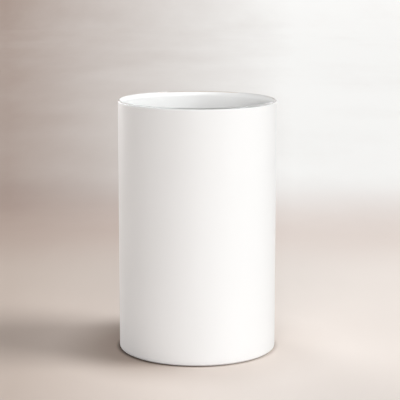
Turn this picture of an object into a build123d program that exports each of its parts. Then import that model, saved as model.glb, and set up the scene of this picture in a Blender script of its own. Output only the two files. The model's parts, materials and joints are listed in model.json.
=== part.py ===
from build123d import *
import os
from math import acos, asin, degrees

# Straight-sided white cylinder vase for cut flowers.
# A one-piece clear glass body carries a thin white lacquer coat on its outside: one film on the
# wall and one film in the hollow under the base. The lip and the foot ring stay bare glass.
# Millimetres, +Z up through the mouth, origin at the centre of the foot, on the table.

# Overall sizes, over the coat
height = 203.0
outer_diameter = 127.0

# Glass body
wall_thickness = 2.0
floor_height = 8.0  # the inside floor above the table
inner_corner_radius = 5.0  # between the inside wall and the inside floor
heel_radius = 2.0  # outer bottom edge
foot_ring_width = 5.0  # flat ring that stands on the table
push_up_height = 2.5  # rise of the hollow under the base, at its centre

# White lacquer coat
coat_thickness = 0.15
coat_table_gap = 0.15  # least height of any lacquer above the table

# Radii and heights that follow from the sizes above
glass_radius = outer_diameter / 2 - coat_thickness
bore_radius = glass_radius - wall_thickness
lip_radius = wall_thickness / 2  # the lip is melted to a full round
lip_start_height = height - lip_radius
straight_bore_length = lip_start_height - floor_height - inner_corner_radius
ring_outer_radius = glass_radius - heel_radius
ring_inner_radius = ring_outer_radius - foot_ring_width
push_up_radius = (ring_inner_radius**2 + push_up_height**2) / (2 * push_up_height)
push_up_centre = (0, push_up_height - push_up_radius)
heel_centre = (glass_radius - heel_radius, heel_radius)


def revolved(*outline):
    """The solid of revolution about Z of a closed outline drawn as (radius, height)."""
    return revolve(Plane.XZ * make_face(Curve() + list(outline)), Axis.Z)


def glass_body():
    """Wall, lip, heel, foot ring, hollow underside and inside floor in one piece of glass."""
    corner_centre = (bore_radius - inner_corner_radius, floor_height + inner_corner_radius)
    lip_centre = (glass_radius - lip_radius, lip_start_height)
    push_up_angle = degrees(asin(ring_inner_radius / push_up_radius))

    underside = CenterArc(push_up_centre, push_up_radius, 90, -push_up_angle)
    foot_ring = Line(underside @ 1, (ring_outer_radius, 0))
    heel = CenterArc(heel_centre, heel_radius, -90, 90)
    outer_wall = Line(heel @ 1, (glass_radius, lip_start_height))
    lip = CenterArc(lip_centre, lip_radius, 0, 180)
    inner_wall = Line(lip @ 1, (bore_radius, corner_centre[1]))
    inner_corner = CenterArc(corner_centre, inner_corner_radius, 0, -90)
    inside_floor = Line(inner_corner @ 1, (0, floor_height))
    axis = Line(inside_floor @ 1, underside @ 0)
    return revolved(
        underside, foot_ring, heel, outer_wall, lip, inner_wall, inner_corner, inside_floor, axis
    )


def wall_coat():
    """Lacquer film from the lip down the wall and round the heel, ending just above the table."""
    coat_radius = glass_radius + coat_thickness
    end_angle = degrees(asin((heel_radius - coat_table_gap) / (heel_radius + coat_thickness)))

    heel_inside = CenterArc(heel_centre, heel_radius, -end_angle, end_angle)
    wall_inside = Line(heel_inside @ 1, (glass_radius, lip_start_height))
    top_edge = Line(wall_inside @ 1, (coat_radius, lip_start_height))
    wall_outside = Line(top_edge @ 1, (coat_radius, heel_radius))
    heel_outside = CenterArc(heel_centre, heel_radius + coat_thickness, 0, -end_angle)
    bottom_edge = Line(heel_outside @ 1, heel_inside @ 0)
    return revolved(heel_inside, wall_inside, top_edge, wall_outside, heel_outside, bottom_edge)


def base_coat():
    """Lacquer film in the hollow under the base, as wide as it can be without nearing the table."""
    coat_inner_radius = push_up_radius - coat_thickness
    end_angle = degrees(acos((coat_table_gap - push_up_centre[1]) / coat_inner_radius))

    glass_side = CenterArc(push_up_centre, push_up_radius, 90, -end_angle)
    outer_edge = Line(
        glass_side @ 1, CenterArc(push_up_centre, coat_inner_radius, 90, -end_angle) @ 1
    )
    table_side = CenterArc(push_up_centre, coat_inner_radius, 90 - end_angle, end_angle)
    axis = Line(table_side @ 1, glass_side @ 0)
    return revolved(glass_side, outer_edge, table_side, axis)


os.makedirs("parts", exist_ok=True)
for make_part in (glass_body, wall_coat, base_coat):
    export_step(make_part(), f"parts/{make_part.__name__}.step")
print(f"bore radius {bore_radius:.3f}, straight bore length {straight_bore_length:.3f}")
print(f"foot ring from radius {ring_inner_radius:.3f} to {ring_outer_radius:.3f}")
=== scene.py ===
import json
from math import asin, atan2, cos, degrees, hypot, pi, radians, sin

import bmesh
import bpy
from bpy.props import FloatProperty, FloatVectorProperty, IntProperty, PointerProperty
from mathutils import Euler, Matrix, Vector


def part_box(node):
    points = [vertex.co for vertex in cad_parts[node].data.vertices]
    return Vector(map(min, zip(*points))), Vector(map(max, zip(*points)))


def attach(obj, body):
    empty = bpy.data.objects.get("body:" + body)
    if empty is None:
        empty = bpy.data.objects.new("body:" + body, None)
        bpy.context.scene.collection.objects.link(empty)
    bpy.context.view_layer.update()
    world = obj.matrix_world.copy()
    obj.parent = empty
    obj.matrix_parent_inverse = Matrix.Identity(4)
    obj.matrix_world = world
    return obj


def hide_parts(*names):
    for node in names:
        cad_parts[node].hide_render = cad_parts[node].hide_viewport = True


bl_info = {
    "name": "White Cylinder Vase",
    "version": (1, 0, 0),
    "blender": (4, 5, 0),
    "location": "View3D > Sidebar > Vase",
    "description": "Turns a clear glass cylinder with a sprayed white finish, in a soft studio",
    "category": "Add Mesh",
}

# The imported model, in metres, +Z up, with its origin at the centre of the foot.
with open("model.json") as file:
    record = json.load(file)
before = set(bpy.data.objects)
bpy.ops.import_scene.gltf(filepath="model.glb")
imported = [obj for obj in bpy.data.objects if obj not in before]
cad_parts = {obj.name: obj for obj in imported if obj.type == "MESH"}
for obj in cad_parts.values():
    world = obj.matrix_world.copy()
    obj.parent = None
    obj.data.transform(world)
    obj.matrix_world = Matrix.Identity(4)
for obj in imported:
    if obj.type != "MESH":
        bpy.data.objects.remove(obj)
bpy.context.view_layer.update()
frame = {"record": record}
GLASS_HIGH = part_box("glass_body")[1]
WALL_LOW, WALL_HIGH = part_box("wall_coat")
BASE_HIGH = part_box("base_coat")[1]
MOUNTS = {mount["name"]: mount for mount in frame["record"]["mounts"]}
MM = 0.001

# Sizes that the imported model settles
HEIGHT = GLASS_HIGH.z
COAT_RADIUS = WALL_HIGH.x
GLASS_RADIUS = GLASS_HIGH.x
BORE_RADIUS = MOUNTS["mouth_bore"]["dims"]["r_mm"] * MM
LIP_RADIUS = (GLASS_RADIUS - BORE_RADIUS) / 2
LIP_START = HEIGHT - LIP_RADIUS
BORE_START = LIP_START - MOUNTS["mouth_bore"]["dims"]["length_mm"] * MM
RING_MIDDLE = MOUNTS["table_face"]["pos_m"][0]
PUSH_UP = BASE_HIGH.z
COAT_GAP = WALL_LOW.z

# A margin that tells one stretch of an outline from the next
MARGIN = 0.1 * MM

# Uneven waves of (lobes round the vase, pitch up the wall, phase)
BLOWN_WAVES = ((2, 0.31, 0.4), (3, 0.17, 1.9), (5, 0.11, 4.2))
FILM_TOP_WAVES = ((3, 1.0, 0.3), (7, 1.0, 2.2), (17, 1.0, 5.0), (41, 1.0, 1.1))
FILM_RIM_WAVES = ((4, 1.0, 1.0), (11, 1.0, 0.2), (29, 1.0, 3.3))

# Lengths over which the unevenness fades out, so that the lip, the corners and the films' ends stay true
LIP_FADE = 12 * MM
FLOOR_FADE = 10 * MM
CORNER_FADE = 6 * MM
FILM_TOP_FADE = 4 * MM
FILM_RIM_FADE = 6 * MM

# Chill rings in the inside floor
CHILL_DEPTH = 0.04 * MM
CHILL_PITCH = 9 * MM

# The wall film's thinned end, as a share of its full thickness, and how far the base film's rim is set in
FILM_END = 0.15
FILM_RIM_INSET = 0.3 * MM

# How squarely a film's face must look to the axis, from 0 to 1, to count as lying on the glass
INWARD = 0.3

# Heights where the painted highlight on the heel starts and where it is full
HEEL_HIGHLIGHT_TOP = 2.6 * MM
HEEL_HIGHLIGHT_FULL = 1.2 * MM

# Heights between which the foot ring goes from clear to ground
GROUND_TOP = 0.25 * MM
GROUND_FULL = 0.1 * MM

# Depths below the lip where the skin under the glass is at its greyest, with painted shade, and at its
# whitest, with painted light
PAINTED_SHADE_DEPTH = 16 * MM
PAINTED_LIGHT_DEPTH = 60 * MM

# The middle of a noise's values, where most of them lie
NOISE_SPAN = (0.3, 0.7)

# Dust's own tint on clear glass
DUST_TINT = (0.9, 0.9, 0.9)

# How far left of the middle the floor's painted shade starts to give way to painted light, as a share of
# the distance from the camera's place. It ends half as far to the right. Then the distances between which
# it fans out.
FAN = 0.13
FAN_NEAR = 0.4
FAN_FAR = 8.0

# How far beyond the vase's side the painted soft shade and the narrow painted shadow line on the floor
# reach, and how far in the line is whole under the heel and gone under the foot ring
SOFT_REACH = 65 * MM
LINE_REACH = 4 * MM
UNDER_HEEL = 4 * MM
UNDER_RING = 8 * MM

# The floor's reach, the radius of the sweep that it turns into, and the sweep's height
FLOOR_REACH = 4.0
SWEEP_RADIUS = 1.5
SWEEP_TOP = 3.0


# ---------------------------------------------------------------------------------------------
# Settings
# ---------------------------------------------------------------------------------------------


class VaseSizes(bpy.types.PropertyGroup):
    """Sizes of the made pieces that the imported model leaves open."""

    segments: IntProperty(name="Segments", description="Facets round the vase", default=320, min=64)
    heel_radius: FloatProperty(
        name="Heel radius",
        description="Radius of the outer bottom edge",
        default=2 * MM,
        unit="LENGTH",
        precision=5,
    )
    inner_corner: FloatProperty(
        name="Inner corner",
        description="Radius between the inside wall and the inside floor",
        default=5 * MM,
        unit="LENGTH",
        precision=5,
    )
    ring_edge: FloatProperty(
        name="Ring edge",
        description="Rounding at the inner edge of the foot ring",
        default=0.4 * MM,
        unit="LENGTH",
        precision=5,
    )
    floor_dish: FloatProperty(
        name="Floor dish",
        description="How far the inside floor sinks towards its middle",
        default=0.5 * MM,
        unit="LENGTH",
        precision=5,
    )
    wall_wander: FloatProperty(
        name="Wall wander",
        description="How far the blown inside wall wanders in from a true circle",
        default=0.12 * MM,
        unit="LENGTH",
        precision=5,
    )
    film_overlap: FloatProperty(
        name="Film overlap",
        description="How deep the lacquer's inner skin is keyed into the glass",
        default=0.02 * MM,
        unit="LENGTH",
        precision=6,
    )
    film_taper: FloatProperty(
        name="Film taper",
        description="Length over which the sprayed film thins out to its edge",
        default=0.9 * MM,
        unit="LENGTH",
        precision=5,
    )
    film_wander: FloatProperty(
        name="Film wander",
        description="How far the edge of the film wanders up and down",
        default=0.12 * MM,
        unit="LENGTH",
        precision=5,
    )


class VaseColours(bpy.types.PropertyGroup):
    """Colours and gloss of the vase."""

    white: FloatVectorProperty(
        name="White",
        description="The lacquer's colour",
        subtype="COLOR",
        default=(0.895, 0.9, 0.904),
        min=0,
        max=1,
    )
    white_shade: FloatVectorProperty(
        name="White, heavier",
        description="The lacquer's colour where the film lies a little heavier",
        subtype="COLOR",
        default=(0.882, 0.886, 0.889),
        min=0,
        max=1,
    )
    # A painted highlight: the lacquer's tone low on the heel, lighter than on the wall.
    heel_highlight_white: FloatVectorProperty(
        name="White, pooled",
        description="The lacquer's colour where the wet film has run together on the heel",
        subtype="COLOR",
        default=(0.95, 0.955, 0.958),
        min=0,
        max=1,
    )
    # Painted shade and light: the skin under the glass is darker than the lacquer outside, to offset the
    # extra lamp light that the glass lets through. It is greyest a little below the lip and lightened again
    # low down.
    bonded_painted_shade_lip: FloatVectorProperty(
        name="White under glass",
        description="The lacquer as it lies against the glass, with no face to air, close under the lip",
        subtype="COLOR",
        default=(0.75, 0.746, 0.741),
        min=0,
        max=1,
    )
    bonded_painted_shade_deeper: FloatVectorProperty(
        name="White under glass, deeper",
        description="The same skin a little further down the wall, where it is greyest",
        subtype="COLOR",
        default=(0.695, 0.691, 0.686),
        min=0,
        max=1,
    )
    bonded_painted_light_low: FloatVectorProperty(
        name="White under glass, at the foot",
        description="The same skin in the lower part of the vase, where it is whitest",
        subtype="COLOR",
        default=(0.89, 0.886, 0.881),
        min=0,
        max=1,
    )
    sheen_roughness: FloatProperty(
        name="Satin roughness",
        description="Roughness of the satin film",
        default=0.42,
        min=0,
        max=1,
    )
    glass: FloatVectorProperty(
        name="Glass",
        description="Tint of the glass at each face",
        subtype="COLOR",
        default=(0.996, 0.997, 0.996),
        min=0,
        max=1,
    )


class StageSettings(bpy.types.PropertyGroup):
    """The floor, the lights and the camera."""

    # Painted light and shade: the floor and the sweep are coloured darker away from the window and lighter
    # towards it, as the window's light falls across them.
    floor_painted_shade: FloatVectorProperty(
        name="Floor, shade side",
        description="Floor colour on the side away from the window",
        subtype="COLOR",
        default=(0.55, 0.45, 0.39),
        min=0,
        max=1,
    )
    floor_painted_light: FloatVectorProperty(
        name="Floor, window side",
        description="Floor colour on the window side",
        subtype="COLOR",
        default=(0.89, 0.80, 0.745),
        min=0,
        max=1,
    )
    sweep_painted_shade: FloatVectorProperty(
        name="Sweep, shade side",
        description="Colour of the far floor and the sweep on the side away from the window",
        subtype="COLOR",
        default=(0.392, 0.3, 0.257),
        min=0,
        max=1,
    )
    sweep_painted_light: FloatVectorProperty(
        name="Sweep, window side",
        description="Colour of the far floor and the sweep on the window side",
        subtype="COLOR",
        default=(0.985, 0.96, 0.94),
        min=0,
        max=1,
    )
    # A band of painted shade across the flat floor behind the vase.
    painted_crease: FloatProperty(
        name="Crease",
        description="How far behind the vase the soft darker band on the floor lies",
        default=0.57,
        unit="LENGTH",
    )
    crease_painted_shade: FloatVectorProperty(
        name="Crease tone",
        description="What the crease leaves of the floor's own colour",
        subtype="COLOR",
        default=(0.79, 0.715, 0.695),
        min=0,
        max=1,
    )
    # Painted shade round the foot and a painted contact shadow under the heel, darkening the floor's
    # colour.
    foot_painted_shade: FloatVectorProperty(
        name="Foot tone",
        description="What the shade round the foot leaves of the floor's colour, away from the window",
        subtype="COLOR",
        default=(0.5, 0.45, 0.415),
        min=0,
        max=1,
    )
    contact_painted_shadow: FloatVectorProperty(
        name="Contact tone",
        description="What is left of the floor's colour in the narrow line of shade under the heel",
        subtype="COLOR",
        default=(0.165, 0.115, 0.085),
        min=0,
        max=1,
    )
    camera_distance: FloatProperty(
        name="Camera distance",
        description="How far the camera stands in front of the vase's axis",
        default=1.183,
        unit="LENGTH",
    )
    camera_height: FloatProperty(
        name="Camera height",
        description="Height of the lens above the table",
        default=0.3353,
        unit="LENGTH",
    )
    camera_aside: FloatProperty(
        name="Camera aside",
        description="How far the camera stands to the right of the vase's axis",
        default=0.0022,
        unit="LENGTH",
        precision=4,
    )
    camera_tilt: FloatProperty(
        name="Camera tilt",
        description="How far the camera looks down",
        default=radians(10.265),
        unit="ROTATION",
    )
    camera_roll: FloatProperty(
        name="Camera roll",
        description="How far the camera leans about its own line of sight",
        default=radians(0.041),
        unit="ROTATION",
    )
    focal_length: FloatProperty(
        name="Focal length", description="Of the lens, in millimetres", default=133.6, unit="CAMERA"
    )


# ---------------------------------------------------------------------------------------------
# Turned shapes
# ---------------------------------------------------------------------------------------------


def arc(centre, radius, start, end, steps):
    """Points (radius, height) of an arc about centre, from start to end degrees, both included."""
    turns = [radians(start + (end - start) * step / steps) for step in range(steps + 1)]
    return [(centre[0] + radius * cos(turn), centre[1] + radius * sin(turn)) for turn in turns]


def line(start, end, steps):
    """Points of a straight run after start, up to and including end."""
    shares = [step / steps for step in range(1, steps + 1)]
    return [
        (start[0] + (end[0] - start[0]) * share, start[1] + (end[1] - start[1]) * share)
        for share in shares
    ]


def turned(name, outline, segments, shaped=None, closed=None):
    """A mesh turned about Z from an outline of (radius, height). Points on the axis become one vertex.

    shaped(radius, height, turn) may move a point by returning its own radius and height. The outline
    is joined end to start unless it begins on the axis or closed says otherwise.
    """
    made = bmesh.new()
    rings = []
    for radius, height in outline:
        if radius < 1e-9:
            rings.append([made.verts.new((0, 0, height))])
            continue
        ring = []
        for index in range(segments):
            turn = 2 * pi * index / segments
            r, z = shaped(radius, height, turn) if shaped else (radius, height)
            ring.append(made.verts.new((r * cos(turn), r * sin(turn), z)))
        rings.append(ring)
    closed = len(rings[0]) > 1 if closed is None else closed
    following = rings[1:] + rings[:1] if closed else rings[1:]
    for lower, upper in zip(rings, following):
        for index in range(segments):
            after = (index + 1) % segments
            corners = [
                lower[index % len(lower)],
                lower[after % len(lower)],
                upper[after % len(upper)],
                upper[index % len(upper)],
            ]
            made.faces.new([corner for i, corner in enumerate(corners) if corner not in corners[:i]])
    bmesh.ops.recalc_face_normals(made, faces=made.faces)
    mesh = bpy.data.meshes.new(name)
    made.to_mesh(mesh)
    made.free()
    mesh.shade_smooth()
    piece = bpy.data.objects.new(name, mesh)
    bpy.context.scene.collection.objects.link(piece)
    return piece


def ripple(turn, height, waves):
    """A smooth uneven number from -1 to 1 over the wall, from waves of (lobes, pitch, phase)."""
    total = sum(sin(lobes * turn + 2 * pi * height / pitch + phase) for lobes, pitch, phase in waves)
    return total / len(waves)


def eased(share):
    """0 below 0, 1 above 1, and a smooth climb between."""
    share = min(max(share, 0.0), 1.0)
    return share * share * (3 - 2 * share)


# ---------------------------------------------------------------------------------------------
# Materials
# ---------------------------------------------------------------------------------------------


def add(tree, kind, **values):
    """A new node of that kind, with its properties set by name."""
    node = tree.nodes.new(kind)
    for name, value in values.items():
        setattr(node, name, value)
    return node


def noise_of(tree, vector, scale, detail=3.0, roughness=0.5, stretch=(1, 1, 1)):
    """The Fac of a noise texture on vector, with features of about 1/scale metres."""
    mapping = add(tree, "ShaderNodeMapping")
    mapping.inputs["Scale"].default_value = stretch
    tree.links.new(vector, mapping.inputs["Vector"])
    noise = add(tree, "ShaderNodeTexNoise")
    noise.inputs["Scale"].default_value = scale
    noise.inputs["Detail"].default_value = detail
    noise.inputs["Roughness"].default_value = roughness
    tree.links.new(mapping.outputs["Vector"], noise.inputs["Vector"])
    return noise.outputs["Fac"]


def maths(tree, operation, a, b=None, c=None, clamp=False):
    """One Math node. Each of a, b and c is a number or a socket."""
    node = add(tree, "ShaderNodeMath", operation=operation, use_clamp=clamp)
    for socket, value in zip(node.inputs, (a, b, c)):
        if value is None:
            continue
        if isinstance(value, (int, float)):
            socket.default_value = value
        else:
            tree.links.new(value, socket)
    return node.outputs[0]


def ranged(tree, value, low, high, to_low=0.0, to_high=1.0, smooth=True):
    """value, from low to high, laid over to_low to to_high."""
    node = add(tree, "ShaderNodeMapRange", interpolation_type="SMOOTHSTEP" if smooth else "LINEAR")
    tree.links.new(value, node.inputs["Value"])
    for name, number in zip(("From Min", "From Max", "To Min", "To Max"), (low, high, to_low, to_high)):
        node.inputs[name].default_value = number
    return node.outputs["Result"]


def group_of(name, inputs, outputs):
    """A new shader node group with sockets (name, type, default) and its input and output nodes."""
    tree = bpy.data.node_groups.new(name, "ShaderNodeTree")
    for label, kind, default in inputs:
        socket = tree.interface.new_socket(label, in_out="INPUT", socket_type=kind)
        if default is not None:
            socket.default_value = default
    for label, kind in outputs:
        tree.interface.new_socket(label, in_out="OUTPUT", socket_type=kind)
    return tree, tree.nodes.new("NodeGroupInput").outputs, tree.nodes.new("NodeGroupOutput").inputs


def surface_relief():
    """Relief of a flowed surface: a long roll, a pitted skin and a fine tooth, as one height."""
    found = bpy.data.node_groups.get("Surface Relief")
    if found:
        return found
    tree, given, out = group_of(
        "Surface Relief",
        [
            ("Vector", "NodeSocketVector", None),
            ("Roll Scale", "NodeSocketFloat", 20.0),
            ("Roll Height", "NodeSocketFloat", 1.0),
            ("Skin Scale", "NodeSocketFloat", 500.0),
            ("Skin Height", "NodeSocketFloat", 0.2),
            ("Tooth Scale", "NodeSocketFloat", 3000.0),
            ("Tooth Height", "NodeSocketFloat", 0.05),
        ],
        [("Height", "NodeSocketFloat")],
    )
    heights = []
    for label, detail in (("Roll", 1.0), ("Skin", 2.0), ("Tooth", 3.0)):
        noise = add(tree, "ShaderNodeTexNoise")
        noise.inputs["Detail"].default_value = detail
        tree.links.new(given["Vector"], noise.inputs["Vector"])
        tree.links.new(given[f"{label} Scale"], noise.inputs["Scale"])
        heights.append(maths(tree, "MULTIPLY", noise.outputs["Fac"], given[f"{label} Height"]))
    total = maths(tree, "ADD", maths(tree, "ADD", heights[0], heights[1]), heights[2])
    tree.links.new(total, out["Height"])
    return tree


def handling_marks():
    """Where a surface has been handled: faint wipes and a little dust, as masks from 0 to 1."""
    found = bpy.data.node_groups.get("Handling Marks")
    if found:
        return found
    tree, given, out = group_of(
        "Handling Marks",
        [
            ("Vector", "NodeSocketVector", None),
            ("Wipe Scale", "NodeSocketFloat", 30.0),
            ("Dust Scale", "NodeSocketFloat", 1400.0),
            ("Dust Share", "NodeSocketFloat", 0.3),
        ],
        [("Wipes", "NodeSocketFloat"), ("Dust", "NodeSocketFloat")],
    )
    wipes = add(tree, "ShaderNodeTexNoise")
    wipes.inputs["Detail"].default_value = 4.0
    wipes.inputs["Distortion"].default_value = 1.2
    tree.links.new(given["Vector"], wipes.inputs["Vector"])
    tree.links.new(given["Wipe Scale"], wipes.inputs["Scale"])
    tree.links.new(ranged(tree, wipes.outputs["Fac"], 0.42, 0.7), out["Wipes"])
    specks = add(tree, "ShaderNodeTexVoronoi")
    tree.links.new(given["Vector"], specks.inputs["Vector"])
    tree.links.new(given["Dust Scale"], specks.inputs["Scale"])
    cell = add(tree, "ShaderNodeSeparateColor")
    tree.links.new(specks.outputs["Color"], cell.inputs["Color"])
    chosen = maths(tree, "LESS_THAN", cell.outputs["Red"], given["Dust Share"])
    dot = ranged(tree, specks.outputs["Distance"], 0.28, 0.12)
    tree.links.new(maths(tree, "MULTIPLY", chosen, dot), out["Dust"])
    return tree


def placed(tree, group, vector, **values):
    """A group node in a material, with its values set and its Vector linked."""
    node = tree.nodes.new("ShaderNodeGroup")
    node.node_tree = group
    tree.links.new(vector, node.inputs["Vector"])
    for name, value in values.items():
        node.inputs[name.replace("_", " ")].default_value = value
    return node


def started(name):
    """A new material: its tree, its Principled shader and the piece's own coordinates."""
    material = bpy.data.materials.new(name)
    material.use_nodes = True
    tree = material.node_tree
    shader = tree.nodes["Principled BSDF"]
    where = tree.nodes.new("ShaderNodeTexCoord").outputs["Object"]
    return material, tree, shader, where


def bumped(tree, shader, height, distance):
    """Feeds a height to the shader's Normal."""
    bump = add(tree, "ShaderNodeBump")
    bump.inputs["Distance"].default_value = distance
    tree.links.new(height, bump.inputs["Height"])
    tree.links.new(bump.outputs["Normal"], shader.inputs["Normal"])


def mixed(tree, share, a, b, blend="MIX"):
    """Colour a where share is 0 and b where it is 1. Each of a and b is a setting or a socket."""
    node = add(tree, "ShaderNodeMix", data_type="RGBA", blend_type=blend)
    tree.links.new(share, node.inputs["Factor"])
    # A Mix node keeps its colours in sockets 6 and 7, and puts a colour out of socket 2.
    for socket, colour in ((node.inputs[6], a), (node.inputs[7], b)):
        if isinstance(colour, bpy.types.NodeSocket):
            tree.links.new(colour, socket)
        else:
            socket.default_value = (*colour, 1)
    return node.outputs[2]


def dimmed(tree, share, colour, tone):
    """The colour where share is 0, and the colour times tone where it is 1."""
    return mixed(tree, share, colour, tone, blend="MULTIPLY")


def height_of(tree, where):
    """The height of each point of a surface."""
    parts = add(tree, "ShaderNodeSeparateXYZ")
    tree.links.new(where, parts.inputs["Vector"])
    return parts.outputs["Z"]


def spray_passes(tree, where):
    """Faint level bands, from 0 to 1, where one pass of the spray lies over the next."""
    bands = noise_of(tree, where, 26.0, detail=2.0, stretch=(1, 1, 0.35))
    return ranged(tree, bands, *NOISE_SPAN)


def white_lacquer():
    """Opaque white satin lacquer, sprayed: a soft orange peel, a fine tooth, faint wipes and dust, and a
    painted highlight on the heel.
    """
    found = bpy.data.materials.get("satin_spray_lacquer")
    if found:
        return found
    colours = bpy.context.scene.vase_colours
    material, tree, shader, where = started("satin_spray_lacquer")
    marks = placed(tree, handling_marks(), where, Wipe_Scale=22.0, Dust_Share=0.03)
    relief = placed(
        tree,
        surface_relief(),
        where,
        Roll_Scale=45.0,
        Roll_Height=1.0,
        Skin_Scale=520.0,
        Skin_Height=0.12,
        Tooth_Scale=2600.0,
        Tooth_Height=0.03,
    )
    film = mixed(tree, spray_passes(tree, where), colours.white, colours.white_shade)
    # Painted highlight: the heel is lightened towards the table.
    heel_highlight = ranged(tree, height_of(tree, where), HEEL_HIGHLIGHT_TOP, HEEL_HIGHLIGHT_FULL)
    film = mixed(tree, heel_highlight, film, colours.heel_highlight_white)
    tree.links.new(film, shader.inputs["Base Color"])
    satin = colours.sheen_roughness
    rough = ranged(tree, noise_of(tree, where, 900.0), *NOISE_SPAN, satin, satin + 0.06)
    rough = maths(tree, "MULTIPLY_ADD", marks.outputs["Wipes"], -0.05, rough)
    rough = maths(tree, "MULTIPLY_ADD", marks.outputs["Dust"], 0.3, rough)
    tree.links.new(rough, shader.inputs["Roughness"])
    shader.inputs["IOR"].default_value = 1.5
    bumped(tree, shader, relief.outputs["Height"], 0.06 * MM)
    return material


def bonded_lacquer():
    """The lacquer's inner skin, wetted onto the glass: matt, with faint spray passes, painted shade greyest
    a little below the lip, and painted light whitest low down.
    """
    found = bpy.data.materials.get("lacquer_under_glass")
    if found:
        return found
    colours = bpy.context.scene.vase_colours
    material, tree, shader, where = started("lacquer_under_glass")
    height = height_of(tree, where)
    # Painted shade: greyer from the lip down to the greyest depth, with faint spray passes over it.
    painted_shade_and_passes = ranged(tree, height, HEIGHT, HEIGHT - PAINTED_SHADE_DEPTH, smooth=False)
    painted_shade_and_passes = maths(tree, "MULTIPLY_ADD", spray_passes(tree, where), 0.15, painted_shade_and_passes, clamp=True)
    skin = mixed(tree, painted_shade_and_passes, colours.bonded_painted_shade_lip, colours.bonded_painted_shade_deeper)
    # Painted light: whiter again low down, where the inside lies deep in shade.
    painted_light_share = ranged(tree, height, HEIGHT - PAINTED_SHADE_DEPTH, HEIGHT - PAINTED_LIGHT_DEPTH)
    skin = mixed(tree, painted_light_share, skin, colours.bonded_painted_light_low)
    tree.links.new(skin, shader.inputs["Base Color"])
    rough = ranged(tree, noise_of(tree, where, 700.0), *NOISE_SPAN, 0.85, 1.0)
    tree.links.new(rough, shader.inputs["Roughness"])
    shader.inputs["Specular IOR Level"].default_value = 0.0
    bumped(tree, shader, noise_of(tree, where, 1500.0), 0.01 * MM)
    return material


def lets_light_through(tree, shader):
    """Lets lamps shine straight through a clear wall, so that what lies behind it is lit.

    It is a stand-in: more light reaches what lies behind than bent light alone would bring.
    """
    path = add(tree, "ShaderNodeLightPath")
    open_wall = add(tree, "ShaderNodeBsdfTransparent")
    choice = add(tree, "ShaderNodeMixShader")
    tree.links.new(path.outputs["Is Shadow Ray"], choice.inputs["Fac"])
    tree.links.new(shader.outputs["BSDF"], choice.inputs[1])
    tree.links.new(open_wall.outputs["BSDF"], choice.inputs[2])
    tree.links.new(choice.outputs["Shader"], tree.nodes["Material Output"].inputs["Surface"])


def clear_glass():
    """Blown soda-lime glass with a slow roll in its faces and a fine-ground foot ring."""
    found = bpy.data.materials.get("blown_glass")
    if found:
        return found
    colours = bpy.context.scene.vase_colours
    material, tree, shader, where = started("blown_glass")
    shader.inputs["Transmission Weight"].default_value = 1.0
    shader.inputs["IOR"].default_value = 1.52
    marks = placed(tree, handling_marks(), where, Wipe_Scale=34.0, Dust_Share=0.02)
    relief = placed(
        tree,
        surface_relief(),
        where,
        Roll_Scale=18.0,
        Roll_Height=1.0,
        Skin_Scale=120.0,
        Skin_Height=0.06,
        Tooth_Height=0.0,
    )
    tint = mixed(tree, marks.outputs["Dust"], colours.glass, DUST_TINT)
    tree.links.new(tint, shader.inputs["Base Color"])
    ground = ranged(tree, height_of(tree, where), GROUND_TOP, GROUND_FULL)
    wiped = ranged(tree, marks.outputs["Wipes"], 0.0, 1.0, 0.0, 0.03)
    tree.links.new(maths(tree, "MULTIPLY_ADD", ground, 0.35, wiped), shader.inputs["Roughness"])
    bumped(tree, shader, relief.outputs["Height"], 0.12 * MM)
    lets_light_through(tree, shader)
    return material


# ---------------------------------------------------------------------------------------------
# Pieces
# ---------------------------------------------------------------------------------------------


def finished(piece, materials, node, bonded=None):
    """Gives a piece its materials and body, and hides the CAD node that it stands for.

    bonded(face) is true for the faces that take the second material.
    """
    for material in materials:
        piece.data.materials.append(material)
    for face in piece.data.polygons if bonded else ():
        face.material_index = int(bonded(face))
    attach(piece, "root")
    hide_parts(node)


def faces_the_glass(face):
    """True for a film's face that looks into the glass: towards the axis on the wall, up under the base."""
    if face.center.z < PUSH_UP and hypot(face.center.x, face.center.y) < RING_MIDDLE:
        return face.normal.z > 0.5
    outward = face.normal.x * face.center.x + face.normal.y * face.center.y
    return outward < -INWARD * COAT_RADIUS


def push_up_arc(ring_inner):
    """(centre, radius) of the hollow under the base."""
    radius = (ring_inner**2 + PUSH_UP**2) / (2 * PUSH_UP)
    return (0.0, PUSH_UP - radius), radius


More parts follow.
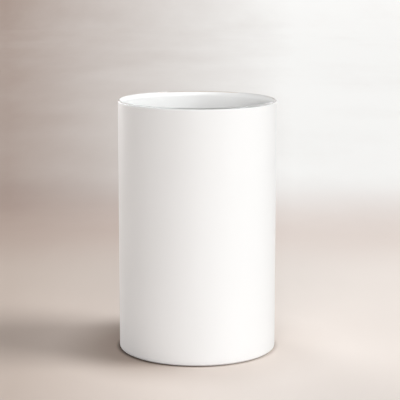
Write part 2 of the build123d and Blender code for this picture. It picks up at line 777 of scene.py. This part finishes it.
class VASE_OT_glass(bpy.types.Operator):
    """Turn the one-piece glass: wall, melted lip, heel, foot ring, hollow underside and inside floor"""

    bl_idname = "vase.glass"
    bl_label = "Glass"

    def execute(self, context):
        sizes = context.scene.vase_sizes
        ring_outer = GLASS_RADIUS - sizes.heel_radius
        ring_inner = 2 * RING_MIDDLE - ring_outer
        hollow_centre, hollow_radius = push_up_arc(ring_inner)
        corner = (BORE_RADIUS - sizes.inner_corner, BORE_START)
        floor_height = BORE_START - sizes.inner_corner
        spread = degrees(atan2(ring_inner - sizes.ring_edge, -hollow_centre[1]))

        outline = arc(hollow_centre, hollow_radius, 90, 90 - spread, 24)
        outline += arc((ring_inner + MARGIN, sizes.ring_edge), sizes.ring_edge, 200, 270, 5)
        outline += line(outline[-1], (ring_outer, 0), 5)
        outline += arc((ring_outer, sizes.heel_radius), sizes.heel_radius, -90, 0, 14)[1:]
        outline += line(outline[-1], (GLASS_RADIUS, LIP_START), 60)
        outline += arc((GLASS_RADIUS - LIP_RADIUS, LIP_START), LIP_RADIUS, 0, 180, 20)[1:]
        outline += line(outline[-1], (BORE_RADIUS, BORE_START), 70)
        outline += arc(corner, sizes.inner_corner, 0, -90, 18)[1:]
        outline += line(outline[-1], (0, floor_height), 40)

        def blown(radius, height, turn):
            """The inside wall wanders in a little, and the inside floor dishes and keeps chill rings."""
            if height > floor_height + MARGIN:
                inner = radius < GLASS_RADIUS - LIP_RADIUS
                below_lip = eased((HEIGHT - height) / LIP_FADE)
                above_floor = eased((height - floor_height) / FLOOR_FADE)
                wander = sizes.wall_wander * (ripple(turn, height, BLOWN_WAVES) - 1) / 2
                return radius + (wander * below_lip * above_floor if inner else 0), height
            if height > PUSH_UP + MARGIN and radius < corner[0]:
                middle = 1 - eased(radius / corner[0])
                rings = CHILL_DEPTH * sin(2 * pi * radius / CHILL_PITCH) * (1 - middle)
                rings *= eased((corner[0] - radius) / CORNER_FADE)
                return radius, height - sizes.floor_dish * middle + rings
            return radius, height

        piece = turned("glass", outline, sizes.segments, blown)
        finished(piece, [clear_glass()], "glass_body")
        return {"FINISHED"}


class VASE_OT_wall_lacquer(bpy.types.Operator):
    """Spray the lacquer film on the outside of the wall and round the heel"""

    bl_idname = "vase.wall_lacquer"
    bl_label = "Wall Lacquer"

    def execute(self, context):
        sizes = context.scene.vase_sizes
        inner = GLASS_RADIUS - sizes.film_overlap
        edge = GLASS_RADIUS + (COAT_RADIUS - GLASS_RADIUS) * FILM_END
        heel = (GLASS_RADIUS - sizes.heel_radius, sizes.heel_radius)
        heel_outside = sizes.heel_radius + COAT_RADIUS - GLASS_RADIUS
        heel_inside = sizes.heel_radius - sizes.film_overlap
        lowest = -degrees(asin((sizes.heel_radius - COAT_GAP) / heel_outside))
        taper_start = LIP_START - sizes.film_taper

        outline = arc(heel, heel_inside, lowest, 0, 14)
        outline += line(outline[-1], (inner, LIP_START), 60)
        outline += [(edge, LIP_START)]
        steps = 10
        for step in range(1, steps + 1):
            share = step / steps
            radius = edge + (COAT_RADIUS - edge) * sin(share * pi / 2)
            outline.append((radius, LIP_START - sizes.film_taper * share))
        outline += line((COAT_RADIUS, taper_start), (COAT_RADIUS, sizes.heel_radius), 60)
        outline += arc(heel, heel_outside, 0, lowest, 14)[1:]

        def sprayed(radius, height, turn):
            """The film's top edge wanders up and down a little."""
            near_top = eased((height - (LIP_START - FILM_TOP_FADE)) / FILM_TOP_FADE)
            drop = sizes.film_wander * (ripple(turn, 0.0, FILM_TOP_WAVES) - 1) / 2
            return radius, height + drop * near_top

        piece = turned("wall_lacquer", outline, sizes.segments, sprayed)
        skins = [white_lacquer(), bonded_lacquer()]
        finished(piece, skins, "wall_coat", faces_the_glass)
        return {"FINISHED"}


class VASE_OT_base_lacquer(bpy.types.Operator):
    """Spray the lacquer film in the hollow under the base"""

    bl_idname = "vase.base_lacquer"
    bl_label = "Base Lacquer"

    def execute(self, context):
        sizes = context.scene.vase_sizes
        ring_inner = 2 * RING_MIDDLE - (GLASS_RADIUS - sizes.heel_radius)
        centre, radius = push_up_arc(ring_inner)
        film = COAT_RADIUS - GLASS_RADIUS
        spread = degrees(atan2(BASE_HIGH.x - FILM_RIM_INSET, -centre[1]))
        outline = arc(centre, radius + sizes.film_overlap, 90, 90 - spread, 30)
        outline += arc(centre, radius - film, 90 - spread, 90, 30)

        def sprayed(radius, height, turn):
            """The film's rim wanders in and out, three times as far as the wall film's end."""
            near_rim = eased((radius - (BASE_HIGH.x - FILM_RIM_FADE)) / FILM_RIM_FADE)
            wander = 3 * sizes.film_wander * (ripple(turn, 0.0, FILM_RIM_WAVES) - 1) / 2
            return radius + wander * near_rim, height

        piece = turned("base_lacquer", outline, sizes.segments, sprayed)
        skins = [white_lacquer(), bonded_lacquer()]
        finished(piece, skins, "base_coat", faces_the_glass)
        return {"FINISHED"}


# ---------------------------------------------------------------------------------------------
# Stage
# ---------------------------------------------------------------------------------------------


def floor_tone(tree, parts, where, cloud):
    """The floor's colour with painted light and shade: darker on the shade side, more so far off, with a
    soft patchy band of painted shade.
    """
    stage = bpy.context.scene.vase_stage
    along = parts["Y"]
    starts, ends = FAN_NEAR - stage.camera_distance, FAN_FAR - stage.camera_distance
    depth = ranged(tree, along, starts, ends, FAN_NEAR, FAN_FAR, smooth=False)
    across = maths(tree, "DIVIDE", parts["X"], depth)
    brushed = noise_of(tree, where, 7.0, detail=5.0, roughness=0.6, stretch=(1, 0.22, 1))
    uneven = maths(tree, "MULTIPLY_ADD", maths(tree, "ADD", cloud, brushed), 0.16, -0.16)
    # Painted light: the share of the window side's colour grows across the floor, fanning out from the
    # camera's place.
    lit = ranged(tree, across, -FAN, 0.5 * FAN, smooth=False)
    lit = maths(tree, "ADD", lit, uneven, clamp=True)
    near = mixed(tree, lit, stage.floor_painted_shade, stage.floor_painted_light)
    far = mixed(tree, lit, stage.sweep_painted_shade, stage.sweep_painted_light)
    tone = mixed(tree, ranged(tree, along, 0.7 * stage.painted_crease, 1.4 * stage.painted_crease), near, far)

    # Painted shade: a soft patchy band across the floor, fainter on the window side.
    rising = ranged(tree, along, 0.4 * stage.painted_crease, 0.9 * stage.painted_crease)
    falling = ranged(tree, along, 1.6 * stage.painted_crease, stage.painted_crease)
    painted_crease = maths(tree, "MULTIPLY", rising, falling)
    painted_crease = maths(tree, "MULTIPLY", painted_crease, ranged(tree, cloud, 0.3, 0.65, 0.65, 1.0))
    painted_crease = maths(tree, "MULTIPLY", painted_crease, ranged(tree, lit, 0, 1, 1, 0.6))
    return dimmed(tree, painted_crease, tone, stage.crease_painted_shade)


def foot_shade(tree, parts, where, tone):
    """The tone with painted shade round the foot, and a narrow painted shadow line under the heel."""
    stage = bpy.context.scene.vase_stage
    length = add(tree, "ShaderNodeVectorMath", operation="LENGTH")
    tree.links.new(where, length.inputs[0])
    reach = length.outputs["Value"]
    rightward = maths(tree, "DIVIDE", parts["X"], maths(tree, "MAXIMUM", reach, MM))
    # Painted shade round the foot: strongest on the side away from the window, a quarter as strong towards
    # it.
    shade_side = ranged(tree, rightward, 0.1, -0.9, 0.25, 1.0)
    close = ranged(tree, reach, COAT_RADIUS + SOFT_REACH, COAT_RADIUS - UNDER_HEEL)
    tone = dimmed(tree, maths(tree, "MULTIPLY", close, shade_side), tone, stage.foot_painted_shade)
    # Painted contact shadow: a narrow dark line just outside and under the heel, fainter towards the
    # window.
    outside = ranged(tree, reach, COAT_RADIUS + LINE_REACH, COAT_RADIUS - MM)
    under = ranged(tree, reach, COAT_RADIUS - UNDER_RING, COAT_RADIUS - UNDER_HEEL)
    contact_shadow_mask = maths(tree, "MULTIPLY", outside, under)
    fainter = ranged(tree, rightward, 1.0, -0.05, 0.33, 1.0, smooth=False)
    return dimmed(tree, maths(tree, "MULTIPLY", contact_shadow_mask, fainter), tone, stage.contact_painted_shadow)


def plaster():
    """Pale plaster for the floor and the sweep behind it, with painted light brighter towards the window
    side and painted shade round the foot.
    """
    found = bpy.data.materials.get("plaster")
    if found:
        return found
    material, tree, shader, where = started("plaster")
    split = add(tree, "ShaderNodeSeparateXYZ")
    tree.links.new(where, split.inputs["Vector"])
    cloud = noise_of(tree, where, 3.0, detail=4.0)
    tone = floor_tone(tree, split.outputs, where, cloud)
    tree.links.new(foot_shade(tree, split.outputs, where, tone), shader.inputs["Base Color"])
    tree.links.new(ranged(tree, cloud, *NOISE_SPAN, 0.75, 0.9), shader.inputs["Roughness"])
    bumped(tree, shader, noise_of(tree, where, 60.0, detail=4.0), 0.2 * MM)
    return material


def lamp(name, azimuth, elevation, strength, spread, colour):
    """A far soft light. azimuth is degrees to the right of straight in front, seen from the camera."""
    data = bpy.data.lights.new(name, "SUN")
    data.energy = strength
    data.angle = radians(spread)
    data.color = colour
    hung = bpy.data.objects.new(name, data)
    hung.rotation_euler = Euler((radians(90 - elevation), 0, radians(azimuth)), "XYZ")
    bpy.context.scene.collection.objects.link(hung)


# Each lamp's name, degrees to the right of straight in front, degrees up, strength, spread and colour
LAMPS = (
    ("window", 81.0, 47.0, 1.92, 25.0, (0.95, 0.99, 1.0)),
    ("front", 0.0, 22.0, 1.70, 50.0, (0.985, 0.995, 1.0)),
    ("back_left", -142.0, 8.0, 2.5, 36.0, (0.99, 1.0, 1.0)),
    ("overhead", 0.0, 85.0, 0.36, 60.0, (1.0, 1.0, 1.0)),
)
ROOM_COLOUR = (1.0, 0.98, 0.96, 1)
ROOM_STRENGTH = 0.08


def floor_and_sweep():
    """The floor, and the sweep that it turns into all round, which takes no lamp's light away."""
    rings = 24
    flat = [(FLOOR_REACH * (ring / rings) ** 2, 0) for ring in range(rings + 1)]
    floor = turned("floor", flat, 96)
    rise = arc((FLOOR_REACH, SWEEP_RADIUS), SWEEP_RADIUS, -90, 0, 16)
    rise += [(FLOOR_REACH + SWEEP_RADIUS, SWEEP_TOP)]
    backdrop = turned("backdrop", rise, 96, closed=False)
    backdrop.visible_shadow = backdrop.visible_diffuse = False
    for surface in (floor, backdrop):
        surface.data.materials.append(plaster())


def studio_light():
    """The lamps, a faint even light from the room, and enough bounces for the inside."""
    scene = bpy.context.scene
    for values in LAMPS:
        lamp(*values)
    world = bpy.data.worlds.new("studio_air")
    world.use_nodes = True
    world.node_tree.nodes["Background"].inputs["Color"].default_value = ROOM_COLOUR
    world.node_tree.nodes["Background"].inputs["Strength"].default_value = ROOM_STRENGTH
    scene.world = world
    scene.view_settings.view_transform = "Standard"
    # Light works its way down the white inside by many bounces, and each one crosses the glass's
    # inside face twice.
    scene.cycles.max_bounces = 64
    scene.cycles.diffuse_bounces = 32
    scene.cycles.glossy_bounces = 16
    scene.cycles.transmission_bounces = 64


def studio_camera():
    """The camera, above the lip and looking a little down at the vase."""
    scene, stage = bpy.context.scene, bpy.context.scene.vase_stage
    camera = bpy.data.objects.new("camera", bpy.data.cameras.new("camera"))
    camera.data.lens = stage.focal_length
    camera.data.clip_end = 30.0
    place = Matrix.Translation((stage.camera_aside, -stage.camera_distance, stage.camera_height))
    facing = Euler((pi / 2 - stage.camera_tilt, 0, 0)).to_matrix()
    camera.matrix_world = place @ (facing @ Matrix.Rotation(stage.camera_roll, 3, "Z")).to_4x4()
    scene.collection.objects.link(camera)
    scene.camera = camera


class VASE_OT_stage(bpy.types.Operator):
    """Lay the floor and its sweep, light them softly and place the camera"""

    bl_idname = "vase.stage"
    bl_label = "Stage"

    def execute(self, context):
        floor_and_sweep()
        studio_light()
        studio_camera()
        return {"FINISHED"}


class VASE_PT_panel(bpy.types.Panel):
    """Lists the steps that make the vase"""

    bl_idname = "VASE_PT_panel"
    bl_label = "White Cylinder Vase"
    bl_space_type = "VIEW_3D"
    bl_region_type = "UI"
    bl_category = "Vase"

    def draw(self, context):
        for operator in OPERATORS:
            self.layout.operator(operator.bl_idname)
        for settings in (context.scene.vase_sizes, context.scene.vase_colours, context.scene.vase_stage):
            box = self.layout.box()
            for name in settings.__annotations__:
                box.prop(settings, name)


OPERATORS = (VASE_OT_glass, VASE_OT_wall_lacquer, VASE_OT_base_lacquer, VASE_OT_stage)
SETTINGS = {"vase_sizes": VaseSizes, "vase_colours": VaseColours, "vase_stage": StageSettings}


def register():
    for made_class in (*SETTINGS.values(), *OPERATORS, VASE_PT_panel):
        bpy.utils.register_class(made_class)
    for name, settings in SETTINGS.items():
        setattr(bpy.types.Scene, name, PointerProperty(type=settings))


def unregister():
    for name in SETTINGS:
        delattr(bpy.types.Scene, name)
    for made_class in (VASE_PT_panel, *reversed(OPERATORS), *SETTINGS.values()):
        bpy.utils.unregister_class(made_class)


def main():
    register()
    bpy.ops.vase.glass()
    bpy.ops.vase.wall_lacquer()
    bpy.ops.vase.base_lacquer()
    bpy.ops.vase.stage()


if __name__ == "__main__":
    main()
